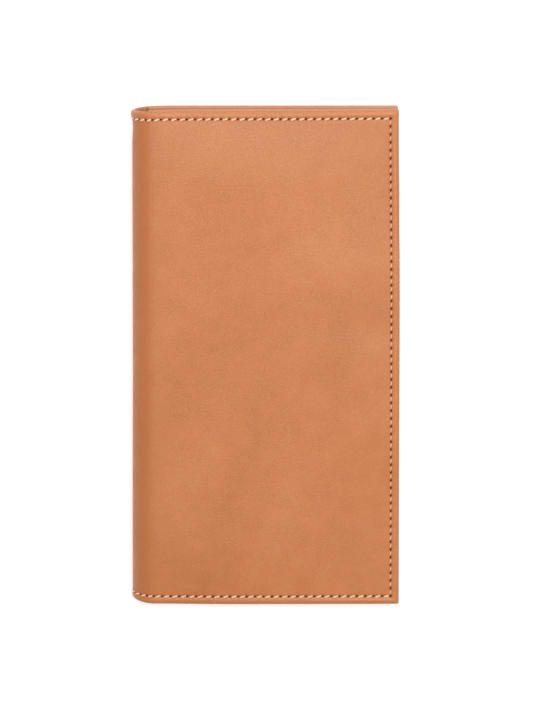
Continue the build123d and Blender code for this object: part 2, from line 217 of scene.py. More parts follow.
def on_front(x, y, depth):
    """Place in the front half: (x, y, thickness - sag - depth). The open edge leans in at the top."""
    x, y = rounded(x, y)
    lean = smooth(x / OPEN_X) * (0.12 - 0.5 * smooth((y - 20) / 70))
    return np.stack([x + lean, drawn_in(SPINE_X - x, y), THICK - sag(x, y) - depth], axis=-1)


def on_spine(run, y, depth):
    """Place round the spine at the angle p = run / R, with the radius
    R - sag (1 - cos p)/2 - (pinch - sag/2) sin² p - depth. The pinch is deepest below the upper seam,
    and fades at the upper end and towards the lower one."""
    turn = run / RADIUS
    below_seam = 0.3 * np.exp(-(((END_Y - y - 7) / 3.5) ** 2))
    pinch = 0.38 - 0.32 * smooth((20 - y) / 100) + below_seam - 0.3 * smooth((y - 89) / 4)
    sag_here = spine_sag(y)
    r = RADIUS - sag_here * (1 - np.cos(turn)) / 2 - (pinch - sag_here / 2) * np.sin(turn) ** 2 - depth
    x, z = SPINE_X - r * np.sin(turn), RADIUS - r * np.cos(turn)
    return np.stack([x, drawn_in(run, y), z], axis=-1)


# ---- seams ----
def seam(x0, y0, x1, y1, count):
    """Stitch holes at equal distances along a straight seam."""
    return np.linspace((x0, y0), (x1, y1), count + 1)


SIDE_COUNT, ROW_COUNT, ARC_COUNT, ZIP_ROW_COUNT = 61, 28, 8, 27  # stitches in a seam
ZIP_ROW_END = SEAM_X - 3.0
SIDE_SEAM = seam(SEAM_X, -SEAM_Y, SEAM_X, SEAM_Y, SIDE_COUNT)
UPPER_SEAM = seam(SPINE_X, SEAM_Y, SEAM_X, SEAM_Y, ROW_COUNT)
LOWER_SEAM = seam(SPINE_X, -SEAM_Y, SEAM_X, -SEAM_Y, ROW_COUNT)
UPPER_ARC_SEAM = seam(0, SEAM_Y, ARC, SEAM_Y, ARC_COUNT)
LOWER_ARC_SEAM = seam(0, -SEAM_Y, ARC, -SEAM_Y, ARC_COUNT)
INNER_SIDE_SEAM = seam(INNER_SEAM_X, -SEAM_Y, INNER_SEAM_X, SEAM_Y, SIDE_COUNT)
HEADER_SEAM = seam(INNER_SEAM_X, HEADER_ROW_Y, ZIP_ROW_END, HEADER_ROW_Y, ZIP_ROW_COUNT)
COIN_SEAM = seam(INNER_SEAM_X, COIN_ROW_Y, ZIP_ROW_END, COIN_ROW_Y, ZIP_ROW_COUNT)
EDGE_SEAMS = [SIDE_SEAM, UPPER_SEAM, LOWER_SEAM]
ROW_SLANT = 0.34  # how far a stitch's ends lie off the seam, in the rows and in the upright seams
SIDE_SLANT = -0.24
TRENCH = 0.10  # depth of the groove that a seam pulls into the leather
THICK_PIT, THIN_PIT = 0.85, 0.45  # depth of a stitch hole in a cover and in a pocket


def marks(seams, pit=THICK_PIT):
    """The dent of seams at (x, y): trench exp(-(across² + beyond²)/0.3) along each, where beyond counts
    past its ends, and pit exp(-(along/0.46)² - (across/0.36)²) at each hole."""

    def dent(x, y):
        depth, hole = np.zeros_like(x), np.zeros_like(x)
        for holes in seams:
            start, end = holes[0], holes[-1]
            length = np.linalg.norm(end - start)
            way = (end - start) / length
            along = (x - start[0]) * way[0] + (y - start[1]) * way[1]
            across = (y - start[1]) * way[0] - (x - start[0]) * way[1]
            beyond = along - np.clip(along, 0, length)
            pitch = length / (len(holes) - 1)
            nearest = np.clip(np.round(along / pitch), 0, len(holes) - 1) * pitch
            here = np.exp(-(((along - nearest) / 0.46) ** 2) - (across / 0.36) ** 2)
            depth = np.maximum(depth, TRENCH * np.exp(-(across**2 + beyond**2) / 0.3))
            hole = np.maximum(hole, here)
        return depth + pit * hole, hole

    return dent


# ---- building meshes ----
def add_piece(name, points, quads, surface, nodes, attributes, body=None, sharp=50):
    """A closed mesh from points in millimetres and quads, turned outwards. It takes the place of CAD nodes,
    and rides on a body if one is given."""
    p = points[quads]
    first = np.einsum("ij,ij->i", p[:, 0], np.cross(p[:, 1], p[:, 2]))
    second = np.einsum("ij,ij->i", p[:, 0], np.cross(p[:, 2], p[:, 3]))
    if (first + second).sum() < 0:
        quads = quads[:, ::-1]
    mesh = bpy.data.meshes.new(name)
    mesh.vertices.add(len(points))
    mesh.vertices.foreach_set("co", (points * MM).astype(np.float32).ravel())
    mesh.loops.add(quads.size)
    mesh.loops.foreach_set("vertex_index", quads.astype(np.int32).ravel())
    mesh.polygons.add(len(quads))
    mesh.polygons.foreach_set("loop_start", np.arange(0, quads.size, 4, dtype=np.int32))
    mesh.update(calc_edges=True)
    for key, values in attributes.items():
        layer = mesh.attributes.new(key, "FLOAT", "POINT")
        layer.data.foreach_set("value", values.astype(np.float32).ravel())
    mesh.shade_smooth()
    mesh.set_sharp_from_angle(angle=math.radians(sharp))
    mesh.materials.append(surface)
    piece = bpy.data.objects.new(name, mesh)
    bpy.context.scene.collection.objects.link(piece)
    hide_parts(*nodes)
    if body:
        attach(piece, body)
    return piece


def sheet_quads(nu, nv):
    """Quads of a closed sheet: near grid, far grid, and a wall of two rows between their rims."""
    near = np.arange(nu * nv).reshape(nu, nv)
    far = near + nu * nv
    rim = np.concatenate([near[:-1, 0], near[-1, :-1], near[:0:-1, -1], near[0, :0:-1]])
    middle = 2 * nu * nv + np.arange(len(rim))

    def faces(g):
        return np.stack([g[:-1, :-1], g[1:, :-1], g[1:, 1:], g[:-1, 1:]], axis=-1).reshape(-1, 4)

    def wall(a, b):
        return np.stack([np.roll(a, -1), a, b, np.roll(b, -1)], axis=-1)

    quads = [faces(near), faces(far)[:, ::-1], wall(rim, middle), wall(middle, rim + nu * nv)]
    return np.concatenate(quads), rim


FAR_INSIDE = 20.0  # the most that counts as the distance to a cut edge
CREASE_AT, CREASE_W = 1.3, 0.14
ROLL_AT, ROLL_W = 1.5, 0.9
SWELL = 0.06  # how far the middle of a cut edge stands out


def slab(name, place, x, y, near, far, surface, nodes, body=None, cut="wesn", radii=(0.3, 0.1),
         near_marks=None, far_marks=None, crease=0.08, roll=0.0, bend=None, warp=None):
    """Closed sheet between two depths. At the distance e from a cut edge each face turns over by
    r - √(r² - (r - e)²). A marked face gets its dents, and a crease and a roll exp(-((e - at)/width)²)."""
    u, v = np.meshgrid(x, y, indexing="ij")
    gaps = {"w": u - x[0], "e": x[-1] - u, "s": v - y[0], "n": y[-1] - v}
    edge = np.minimum.reduce([gaps[side] for side in cut] + [np.full_like(u, FAR_INSIDE)])
    levels, holes = [], []
    for depth, way, radius, dents in ((near, 1, radii[0], near_marks), (far, -1, radii[1], far_marks)):
        level = depth(u, v) if callable(depth) else np.full_like(u, depth)
        inside = np.clip(radius - edge, 0, None)
        level = level + way * (radius - np.sqrt(radius**2 - inside**2))
        hole = np.zeros_like(u)
        if dents:
            dent, hole = dents(u, v)
            level = level + way * (dent + crease * np.exp(-(((edge - CREASE_AT) / CREASE_W) ** 2)))
            level = level - way * roll * np.exp(-(((edge - ROLL_AT) / ROLL_W) ** 2))
        levels.append(level)
        holes.append(hole)
    quads, rim = sheet_quads(*u.shape)
    out_u = (u == x[-1]) * ("e" in cut) * 1.0 - (u == x[0]) * ("w" in cut) * 1.0
    out_v = (v == y[-1]) * ("n" in cut) * 1.0 - (v == y[0]) * ("s" in cut) * 1.0
    wall_u, wall_v = (u + SWELL * out_u).ravel()[rim], (v + SWELL * out_v).ravel()[rim]
    wall_level = ((levels[0] + levels[1]) / 2).ravel()[rim]
    all_u = np.concatenate([u.ravel(), u.ravel(), wall_u])
    all_v = np.concatenate([v.ravel(), v.ravel(), wall_v])
    if warp:
        all_u, all_v = warp(all_u, all_v)
    points = place(all_u, all_v, np.concatenate([levels[0].ravel(), levels[1].ravel(), wall_level]))
    attributes = {
        "edge": np.concatenate([edge.ravel(), edge.ravel(), edge.ravel()[rim]]),
        "pit": np.concatenate([holes[0].ravel(), holes[1].ravel(), 0 * wall_u]),
        "bend": bend(all_u) if bend else 0 * all_u,
    }
    return add_piece(name, points, quads, surface, nodes, attributes, body)


RINGS, SIDES = 9, 8  # of a stitch, a zip tooth and the slider's bail


def tube_quads(count):
    """Quads of that many capped tubes, one after the other."""
    ring = np.arange(RINGS * SIDES).reshape(RINGS, SIDES)
    turned = np.roll(ring, -1, axis=1)
    sides = np.stack([ring[:-1], turned[:-1], turned[1:], ring[1:]], axis=-1).reshape(-1, 4)
    caps = np.array([[0, 7, 6, 1], [1, 6, 5, 2], [2, 5, 4, 3]])
    ends = np.concatenate([caps, (RINGS - 1) * SIDES + caps[:, ::-1]])
    one = np.concatenate([sides, ends])
    return (one[None] + (np.arange(count) * RINGS * SIDES)[:, None, None]).reshape(-1, 4)


ARCH, DIVE = 0.12, 0.60  # how far a stitch stands out of the surface, and how deep its ends go
HALF_T = 0.25


def stitch_points(place, holes, surface_depth, outward, slant, start=0.52, sink=0.0, width=0.34):
    """Points of one run of stitches, each a flat tube from a little past one hole to as far before the
    next. At q = 2t - 1 along it, its middle line is arch (1 - q⁴) - dive q⁸ - sink above the surface, and
    its section is 1 - 0.35 q⁶ of the full one."""
    t = np.linspace(0, 1, RINGS)[None, :, None]
    around = np.linspace(0, 2 * math.pi, SIDES, endpoint=False)[None, None, :] - math.pi / 2
    way = (holes[-1] - holes[0]) / np.linalg.norm(holes[-1] - holes[0])
    side = np.array([-way[1], way[0]])
    first = holes[:-1] + start * way - slant * side
    last = holes[1:] - start * way + slant * side
    middle = first[:, None, None, :] * (1 - t[..., None]) + last[:, None, None, :] * t[..., None]
    slope = (last - first) / np.linalg.norm(last - first, axis=1)[:, None]
    across = np.stack([-slope[:, 1], slope[:, 0]], axis=-1)[:, None, None, :]
    q = 2 * t - 1
    lift = ARCH * (1 - q**4) - DIVE * q**8 - sink
    fullness = 1 - 0.35 * q**6
    half_w, half_t = width * fullness, HALF_T * fullness
    uv = middle + across * (half_w * np.cos(around))[..., None]
    ground = surface_depth(middle[..., 0], middle[..., 1])
    soft = (np.roll(ground, 1, axis=1) + ground + np.roll(ground, -1, axis=1)) / 3
    soft[:, 0], soft[:, -1] = ground[:, 0], ground[:, -1]
    ground = np.maximum(ground, soft) if outward > 0 else np.minimum(ground, soft)
    depth = ground + outward * (lift + half_t * np.sin(around))
    length = np.linalg.norm(last - first, axis=1)[:, None, None]
    along = np.broadcast_to(length * t, depth.shape)
    points = place(uv[..., 0], uv[..., 1], depth)
    return points.reshape(-1, 3), along.ravel(), np.broadcast_to(around, depth.shape).ravel()


def stitches(name, runs, nodes, body=None):
    """One piece of thread made of several runs of stitches."""
    made = [stitch_points(*run) for run in runs]
    points, along, around = (np.concatenate(part) for part in zip(*made))
    quads = tube_quads(len(points) // (RINGS * SIDES))
    attributes = {"along": along, "around": around}
    return add_piece(name, points, quads, THREAD, nodes, attributes, body, sharp=70)


# ---- materials ----
class Surface:
    """A material under construction, with the object's own coordinates in millimetres."""

    def __init__(self, name, **constants):
        self.material = bpy.data.materials.new(name)
        self.material.use_nodes = True
        self.tree = self.material.node_tree
        self.shader = self.tree.nodes["Principled BSDF"]
        self.normal = None
        for socket, value in constants.items():
            self.shader.inputs[socket.replace("_", " ")].default_value = value
        place = self.node("TexCoord").outputs["Object"]
        self.place = self.node("Mapping", {"Vector": place, "Scale": (1 / MM,) * 3}).outputs["Vector"]

    def node(self, kind, values=None, **settings):
        """A shader node with its settings, and values or outputs for its sockets."""
        made = self.tree.nodes.new("ShaderNode" + kind)
        for key, value in settings.items():
            setattr(made, key, value)
        for socket, value in (values or {}).items():
            if isinstance(value, bpy.types.NodeSocket):
                self.tree.links.new(value, made.inputs[socket])
            else:
                made.inputs[socket].default_value = value
        return made

    def attribute(self, name):
        """A number that the mesh carries at each point."""
        return self.node("Attribute", attribute_name=name).outputs["Fac"]

    def stretched(self, scale):
        """The coordinates times a factor for each axis."""
        return self.node("Mapping", {"Vector": self.place, "Scale": scale}).outputs["Vector"]

    def noise(self, scale, detail=3.0, roughness=0.55, place=None, distortion=0.0):
        """Cloudy noise from 0 to 1, with this many clouds to a millimetre."""
        values = {"Vector": place or self.place, "Scale": scale, "Detail": detail, "Roughness": roughness,
                  "Distortion": distortion}
        return self.node("TexNoise", values).outputs["Fac"]

    def cells(self, scale, place=None, feature="F1"):
        """Distance to the middle or the border of the nearest of this many cells to a millimetre."""
        values = {"Vector": place or self.place, "Scale": scale}
        return self.node("TexVoronoi", values, feature=feature).outputs["Distance"]

    def math(self, operation, a, b=0.0):
        """One operation on one or two numbers."""
        return self.node("Math", {0: a, 1: b}, operation=operation).outputs[0]

    def ranged(self, value, low, high, to_low=0.0, to_high=1.0):
        """The value carried smoothly from one range to another."""
        values = {"Value": value, "From Min": low, "From Max": high, "To Min": to_low, "To Max": to_high}
        return self.node("MapRange", values, interpolation_type="SMOOTHSTEP").outputs["Result"]

    def ramp(self, value, stops):
        """The colour at the value, between stops of (position, colour)."""
        made = self.node("ValToRGB", {"Fac": value})
        elements = made.color_ramp.elements
        elements[0].position, elements[0].color = stops[0][0], (*stops[0][1], 1)
        elements[1].position, elements[1].color = stops[-1][0], (*stops[-1][1], 1)
        for position, colour in stops[1:-1]:
            elements.new(position).color = (*colour, 1)
        return made.outputs["Color"]

    def mix(self, share, a, b):
        """Colour a with a share of colour b."""
        made = self.node("Mix", {0: share}, data_type="RGBA")
        for index, value in ((6, a), (7, b)):
            if isinstance(value, bpy.types.NodeSocket):
                self.tree.links.new(value, made.inputs[index])
            else:
                made.inputs[index].default_value = (*value, 1)
        return made.outputs[2]

    def bump(self, height, size, strength=1.0):
        """Adds a relief of this size in millimetres to those before it."""
        values = {"Height": height, "Distance": size * MM, "Strength": strength}
        if self.normal:
            values["Normal"] = self.normal
        self.normal = self.node("Bump", values).outputs["Normal"]

    def join(self, socket, value):
        """Leads an output into the shader."""
        self.tree.links.new(value, self.shader.inputs[socket])

    def done(self, colour, roughness):
        """The material, with its colour, roughness and relief led into the shader."""
        self.join("Base Color", colour)
        self.join("Roughness", roughness)
        if self.normal:
            self.join("Normal", self.normal)
        return self.material


def leather(name, deep, usual, pale, edge, grain=1.0, gloss=0.46):
    """Smooth dyed leather: cloudy colour, fine irregular cells, pores, scratches, painted shade round the
    spine's fold, a painted highlight on a smooth border, a burnished cut edge, painted shade in the needle
    holes and a soft relief."""
    s = Surface(name, Specular_IOR_Level=0.45, Coat_Weight=0.06, Coat_Roughness=0.35)
    clouds = s.noise(0.022, 4, 0.6, distortion=0.4)
    blotches = s.noise(0.16, 4, 0.62)
    fine = s.noise(1.9, 4, 0.6)
    tone = s.math("ADD", s.math("MULTIPLY", clouds, 0.55), s.math("MULTIPLY", blotches, 0.30))
    tone = s.math("ADD", tone, s.math("MULTIPLY", fine, 0.15))
    colour = s.ramp(tone, [(0.36, deep), (0.50, usual), (0.64, pale)])

    warp = s.node("TexNoise", {"Vector": s.place, "Scale": 0.8, "Detail": 2.0}).outputs["Color"]
    offset = s.node("VectorMath", {0: warp, 1: (1.1, 1.1, 1.1)}, operation="MULTIPLY").outputs[0]
    bent = s.node("VectorMath", {0: s.place, 1: offset}, operation="ADD").outputs[0]
    cells = s.cells(1.25, bent, "DISTANCE_TO_EDGE")
    small = s.cells(3.1, bent, "DISTANCE_TO_EDGE")
    pores = s.cells(1.7)
    valley = s.ranged(cells, 0.0, 0.16)
    pore = s.ranged(pores, 0.05, 0.16, 1.0, 0.0)
    seen = s.ranged(s.noise(0.09, 2, 0.5), 0.42, 0.62)
    colour = s.mix(s.math("MULTIPLY", s.ranged(valley, 0.0, 1.0, 1.0, 0.0), 0.10), colour, deep)
    colour = s.mix(s.math("MULTIPLY", pore, s.math("MULTIPLY", seen, 0.30)), colour, deep)

    streak = s.noise(1.0, 3, 0.6, s.stretched((0.02, 0.5, 0.2)))
    scratch = s.math("MULTIPLY", s.ranged(streak, 0.62, 0.68), s.ranged(s.noise(0.05, 2), 0.55, 0.7))
    colour = s.mix(s.math("MULTIPLY", scratch, 0.25), colour, pale)

    bend = s.attribute("bend")
    # painted shade: the leather round the spine's fold is darkened, standing in for the shade of its curve
    painted_spine_shade = s.math("MULTIPLY", bend, s.ranged(blotches, 0.25, 0.75, 0.28, 0.55))
    colour = s.mix(painted_spine_shade, colour, (0.86 * deep[0], 0.80 * deep[1], 0.76 * deep[2]))

    gap = s.attribute("edge")
    rim = s.ranged(s.math("ADD", gap, s.math("MULTIPLY", fine, 0.25)), 0.12, 0.55, 1.0, 0.0)
    near_rim = s.ranged(gap, 1.6, 3.2, 1.0, 0.0)
    # painted highlight: within 1.6 to 3.2 mm of a cut edge the colour is mixed towards the pale one; the
    # border is also glossier
    colour = s.mix(s.math("MULTIPLY", near_rim, 0.30), colour, pale)
    colour = s.mix(s.math("MULTIPLY", rim, 0.75), colour, edge)
    # painted shade: the needle holes are darkened almost to black
    hole = s.ranged(s.attribute("pit"), 0.10, 0.55)
    colour = s.mix(s.math("MULTIPLY", hole, 0.95), colour, (0.22 * deep[0], 0.10 * deep[1], 0.06 * deep[2]))

    rough = s.math("ADD", s.ranged(blotches, 0.3, 0.7, gloss - 0.05, gloss + 0.06),
                   s.math("MULTIPLY", s.ranged(fine, 0.3, 0.7), 0.06))
    rough = s.math("ADD", rough, s.math("MULTIPLY", near_rim, -0.12))
    rough = s.math("ADD", rough, s.math("MULTIPLY", bend, 0.08))
    s.bump(s.noise(0.12, 3, 0.5), 0.35, 0.35)
    s.bump(valley, 0.035 * grain)
    s.bump(s.ranged(small, 0.0, 0.14), 0.012 * grain)
    s.bump(s.ranged(pore, 0.0, 1.0, 1.0, 0.0), 0.03 * grain)
    s.bump(fine, 0.03 * grain)
    return s.done(colour, rough)


def suede(name, deep, usual, pale, edge):
    """Thin split leather: short matted fibres, cloudy colour and a dull surface."""
    s = Surface(name, Specular_IOR_Level=0.25, Sheen_Weight=0.25, Sheen_Roughness=0.6)
    fibres = s.noise(3.4, 5, 0.7, distortion=0.8)
    clouds = s.noise(0.05, 4, 0.6)
    tone = s.math("ADD", s.math("MULTIPLY", clouds, 0.6), s.math("MULTIPLY", fibres, 0.4))
    colour = s.ramp(tone, [(0.34, deep), (0.5, usual), (0.66, pale)])
    rim = s.ranged(s.attribute("edge"), 0.1, 0.6, 1.0, 0.0)
    colour = s.mix(s.math("MULTIPLY", rim, 0.7), colour, edge)
    s.bump(fibres, 0.10)
    s.bump(s.noise(0.7, 4, 0.6), 0.08)
    return s.done(colour, s.ranged(fibres, 0.3, 0.7, 0.78, 0.92))


def waxed_thread(name, shade, painted_gap_shade, crest):
    """Twisted waxed thread: strands sin(6.3 (along / 0.62) + 2 around) with painted shade in the gaps
    between them.
    """
    s = Surface(name, Specular_IOR_Level=0.35)
    turn = s.math("ADD", s.math("MULTIPLY", s.attribute("along"), 2 * math.pi / 0.62),
                  s.math("MULTIPLY", s.attribute("around"), 2.0))
    strand = s.math("ABSOLUTE", s.math("SINE", s.math("MULTIPLY", turn, 0.5)))
    fuzz = s.noise(6.0, 3, 0.6)
    body = s.ramp(s.noise(0.35, 3, 0.5), [(0.30, shade), (0.70, crest)])
    # painted shade in the grooves between the strands
    colour = s.mix(s.ranged(strand, 0.05, 0.45, 0.75, 0.0), body, painted_gap_shade)
    colour = s.mix(s.math("MULTIPLY", s.ranged(fuzz, 0.5, 0.75), 0.15), colour, crest)
    s.bump(strand, 0.10)
    s.bump(fuzz, 0.02)
    return s.done(colour, s.ranged(fuzz, 0.3, 0.7, 0.52, 0.66))


def woven(name, shade, painted_gap_shade, pale, pitch=0.55):
    """Plain cloth: warp sin x and weft sin y pass over one another, with small changes of colour and
    painted shade in the gaps between the yarns.
    """
    s = Surface(name, Specular_IOR_Level=0.25, Sheen_Weight=0.15)
    split = s.node("SeparateXYZ", {0: s.place})
    rate = math.pi / pitch
    warp = s.math("SINE", s.math("MULTIPLY", split.outputs[0], rate))
    weft = s.math("SINE", s.math("MULTIPLY", split.outputs[1], rate))
    over = s.math("MULTIPLY", warp, weft)
    height = s.math("MAXIMUM", s.math("ABSOLUTE", warp), s.math("ABSOLUTE", weft))
    tone = s.noise(0.25, 4, 0.6)
    colour = s.ramp(tone, [(0.35, shade), (0.65, pale)])
    # painted shade in the gaps between the yarns
    colour = s.mix(s.ranged(height, 0.35, 0.95, 0.8, 0.0), colour, painted_gap_shade)
    colour = s.mix(s.ranged(over, -0.4, 0.4, 0.0, 0.22), colour, pale)
    s.bump(height, 0.12)
    s.bump(over, 0.06)
    s.bump(s.noise(7.0, 3, 0.6), 0.03)
    return s.done(colour, s.ranged(s.noise(3.0, 3), 0.3, 0.7, 0.75, 0.9))


def brass(name, shade, dark, bright):
    """Polished brass, a little dulled: cloudy tone, hairline scratches and darker handled patches."""
    s = Surface(name, Metallic=1.0)
    clouds = s.noise(0.3, 4, 0.6)
    hairs = s.noise(1.0, 3, 0.6, s.stretched((0.6, 9.0, 4.0)))
    colour = s.ramp(clouds, [(0.35, dark), (0.5, shade), (0.65, bright)])
    colour = s.mix(s.math("MULTIPLY", s.ranged(hairs, 0.55, 0.7), 0.25), colour, dark)
    s.bump(hairs, 0.012)
    s.bump(s.noise(2.5, 3, 0.5), 0.02)
    return s.done(colour, s.ranged(clouds, 0.3, 0.7, 0.22, 0.36))


TAN = leather("tan_leather", (0.505, 0.158, 0.044), (0.555, 0.184, 0.055), (0.60, 0.213, 0.071),
              (0.47, 0.135, 0.035), gloss=0.38)
INNER = leather("inner_leather", (0.48, 0.152, 0.046), (0.53, 0.182, 0.059), (0.575, 0.212, 0.076),
                (0.44, 0.130, 0.036), grain=0.8, gloss=0.45)
PANEL = leather("panel_leather", (0.53, 0.215, 0.084), (0.60, 0.268, 0.113), (0.66, 0.325, 0.150),
                (0.54, 0.190, 0.062), grain=0.7, gloss=0.5)
LINING = suede("lining_leather", (0.50, 0.215, 0.090), (0.58, 0.268, 0.118), (0.65, 0.33, 0.16),
               (0.52, 0.195, 0.070))
THREAD = waxed_thread("cream_thread", (0.88, 0.63, 0.42), (0.60, 0.34, 0.17), (0.94, 0.74, 0.55))
CLOTH = woven("brown_cloth", (0.105, 0.050, 0.024), (0.035, 0.016, 0.008), (0.165, 0.085, 0.042))
TAPE = woven("zip_tape_cloth", (0.120, 0.056, 0.026), (0.040, 0.018, 0.009), (0.19, 0.095, 0.046), 0.36)
BRASS = brass("brass", (0.80, 0.55, 0.24), (0.66, 0.43, 0.17), (0.90, 0.68, 0.36))


# ---- covers, lining and spine ----
COVER_Y = lines(RIM - END_Y, END_Y - RIM, hole_lines(SIDE_SEAM[:, 1]), SEAM_Y + ACROSS_SEAM,
                ACROSS_SEAM - SEAM_Y)
COVER_X = lines(SPINE_X, OPEN_X - RIM, hole_lines(UPPER_SEAM[:, 0]), SEAM_X + ACROSS_SEAM,
                spread(SPINE_X, OPEN_X, 2.5))
PLAIN_Y = lines(THIN_RIM - END_Y, END_Y - THIN_RIM, spread(-END_Y, END_Y, 3.0))
HALVES = {"back": on_back, "front": on_front}
# how far the outer and the inner edge of each kind of sheet are rounded over
COVER_RADII, LINING_RADII, PANEL_RADII = (0.8, 0.12), (0.04, 0.12), (0.2, 0.2)
STRIP_RADII, CARD_RADII, COIN_RADII, TAPE_RADII = (0.1, 0.1), (0.12, 0.24), (0.12, 0.26), (0.05, 0.08)
COVER_ROLL = 0.2


def fold_share(run):
    """How much painted shade and extra roughness the fold gets: fully round the spine, and fading across
    its ends.
    """
    fade = 4
    return smooth((np.minimum(run, ARC - run) + fade) / (2 * fade))


def make_covers():
    """Outer leather and lining of both halves, cut on three sides and running on into the spine."""
    for side, place in HALVES.items():
        slab(f"{side}_cover_leather", place, COVER_X, COVER_Y, 0.0, COVER_T, TAN,
             [f"{side}_cover"], side, cut="esn", radii=COVER_RADII, near_marks=marks(EDGE_SEAMS),
             crease=0.0, roll=COVER_ROLL, bend=lambda x: fold_share(SPINE_X - x))
        plain_x = lines(SPINE_X, OPEN_X - THIN_RIM, spread(SPINE_X, OPEN_X, 3.0))
        slab(f"{side}_lining_leather", place, plain_x, PLAIN_Y, COVER_T, LINING_D, LINING,
             [f"{side}_lining"], side, cut="esn", radii=LINING_RADII)


def make_spine():
    """One section for each fold: its leather, lining and stitches."""
    for k in range(FOLDS):
        start, end = k * FOLD_ARC, (k + 1) * FOLD_ARC
        near_strips = [n for n in (k, k + 1) if 1 <= n < FOLDS]
        sections = [
            slab(f"spine_leather_section_{k + 1}", on_spine, joined(start, end, 0.2), COVER_Y, 0.0, COVER_T,
                 TAN, [f"spine_leather_{n}" for n in near_strips], cut="sn",
                 radii=COVER_RADII, near_marks=marks([UPPER_ARC_SEAM, LOWER_ARC_SEAM]), crease=0.0,
                 roll=COVER_ROLL, bend=fold_share),
            slab(f"spine_lining_section_{k + 1}", on_spine, joined(start, end, 0.3), PLAIN_Y, COVER_T,
                 LINING_D, LINING, [f"spine_lining_{n}" for n in near_strips], cut="sn",
                 radii=LINING_RADII),
        ]
        runs = []
        for holes in (UPPER_ARC_SEAM, LOWER_ARC_SEAM):
            for first, last in zip(holes[:-1], holes[1:]):
                if start <= (first[0] + last[0]) / 2 < end:
                    runs.append((on_spine, np.array([last, first]), flat_level(0.0), -1, ROW_SLANT))
        threads = [f"spine_thread_{n}" for n in near_strips]
        sections.append(stitches(f"spine_stitches_{k + 1}", runs, threads))
        for piece in sections:
            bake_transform(piece)


def flat_level(depth):
    """A surface at one depth."""
    return lambda x, y: np.full_like(x, depth)


# ---- panels and strips of the two halves ----
BASE_D = THICK - cad("card_base_panel")[0][2]
COIN_FACE_D = cad("coin_pocket_front")[1][2]
SLIP_FACE_D = cad("slip_pocket")[1][2]
TAPE_FACE_D = cad("zip_tape_upper")[1][2]
ROW_X = lines(PANEL_X + THIN_RIM, OPEN_X - THIN_RIM, hole_lines(UPPER_SEAM[:, 0]), SEAM_X + ACROSS_SEAM,
              INNER_SEAM_X + ACROSS_SEAM)
POCKET_X = lines(PANEL_X + THIN_RIM, OPEN_X - THIN_RIM, SEAM_X + ACROSS_SEAM, INNER_SEAM_X + ACROSS_SEAM,
                 spread(PANEL_X, OPEN_X, 4.0))


def span(node, side):
    """Near and far depth of a CAD node in its half."""
    low, high = cad(node)
    return (low[2], high[2]) if side == "back" else (THICK - high[2], THICK - low[2])


def part_y(y0, y1, *more):
    """Lines of a sheet from y0 to y1, with both cut ends and the stitch holes of the side seams."""
    holes = hole_lines(SIDE_SEAM[:, 1])
    inner = np.concatenate([holes, *(np.atleast_1d(group) for group in more), spread(y0, y1, 4.0)])
    clear = THIN_RIM[-1] + 0.05
    inner = inner[(inner > y0 + clear) & (inner < y1 - clear)]
    return lines(y0 + THIN_RIM, y1 - THIN_RIM, inner)


def make_strips(node, side, surface, spine_side=False):
    """The bars of one strips node: both ends, the open side, and the spine side where that is closed."""
    near, far = span(node, side)
    left, gap = max(PANEL_X, SPINE_X), 0.05
    across = lines(left + THIN_RIM, OPEN_X - THIN_RIM, spread(left, OPEN_X, 4.0))
    narrow = lines(OPEN_X - STRIP_W + BAR_RIM, OPEN_X - THIN_RIM)
    upright = part_y(STRIP_W - END_Y + gap, END_Y - STRIP_W - gap)
    bars = [
        ("upper", across, lines(END_Y - STRIP_W + BAR_RIM, END_Y - THIN_RIM)),
        ("lower", across, lines(THIN_RIM - END_Y, STRIP_W - END_Y - BAR_RIM)),
        ("open_side", narrow, upright),
    ]
    if spine_side:
        bars.append(("spine_side", lines(left + THIN_RIM, left + STRIP_W - BAR_RIM), upright))
    for where, x, y in bars:
        slab(f"{node}_{where}", HALVES[side], x, y, near, far, surface, [node], side,
             radii=STRIP_RADII)


def make_panels():
    """Banknote pocket, paper pocket and base panel of both halves."""
    plain_x = lines(PANEL_X + THIN_RIM, OPEN_X - THIN_RIM, spread(PANEL_X, OPEN_X, 3.0))
    for side, place in HALVES.items():
        make_strips(f"{side}_note_pocket_strips", side, LINING)
        make_strips(f"{side}_paper_pocket_strips", side, LINING)
        near, far = span(f"{side}_divider", side)
        slab(f"{side}_divider_leather", place, plain_x, PLAIN_Y, near, far, PANEL,
             [f"{side}_divider"], side, radii=PANEL_RADII)
    near, far = span("coin_base_panel", "back")
    slab("coin_base_leather", on_back, plain_x, PLAIN_Y, near, far, PANEL,
         ["coin_base_panel"], "back", radii=PANEL_RADII)
    near, far = span("card_base_panel", "front")
    covered_to = 70  # below this the pockets hide the panel, and a quarter of the lines is enough
    y = part_y(-END_Y, END_Y)
    y = lines(y[y < covered_to][::4], y[y >= covered_to], SEAM_Y + ACROSS_SEAM, -END_Y)
    slab("card_base_leather", on_front, ROW_X, y, near, far, PANEL, ["card_base_panel"],
         "front", radii=PANEL_RADII, far_marks=marks([*EDGE_SEAMS, INNER_SIDE_SEAM]))


# ---- card pockets ----
def card_level(number, y):
    """Depth of a card pocket's outer side: each pocket behind it lifts it by one pitch down to its foot."""
    behind = sum(smooth((y - foot) / CARD_RAMP + 1) for foot in FEET[: number - 1])
    return CARD_D + CARD_PITCH * behind


def card_face(x, y):
    """Depth of the inside of the front half: the base panel, and below each mouth that pocket."""
    face = np.full_like(y, BASE_D)
    for number, mouth in enumerate(MOUTHS, 1):
        face = np.where(y < mouth, card_level(number, y) + CARD_T, face)
    return face


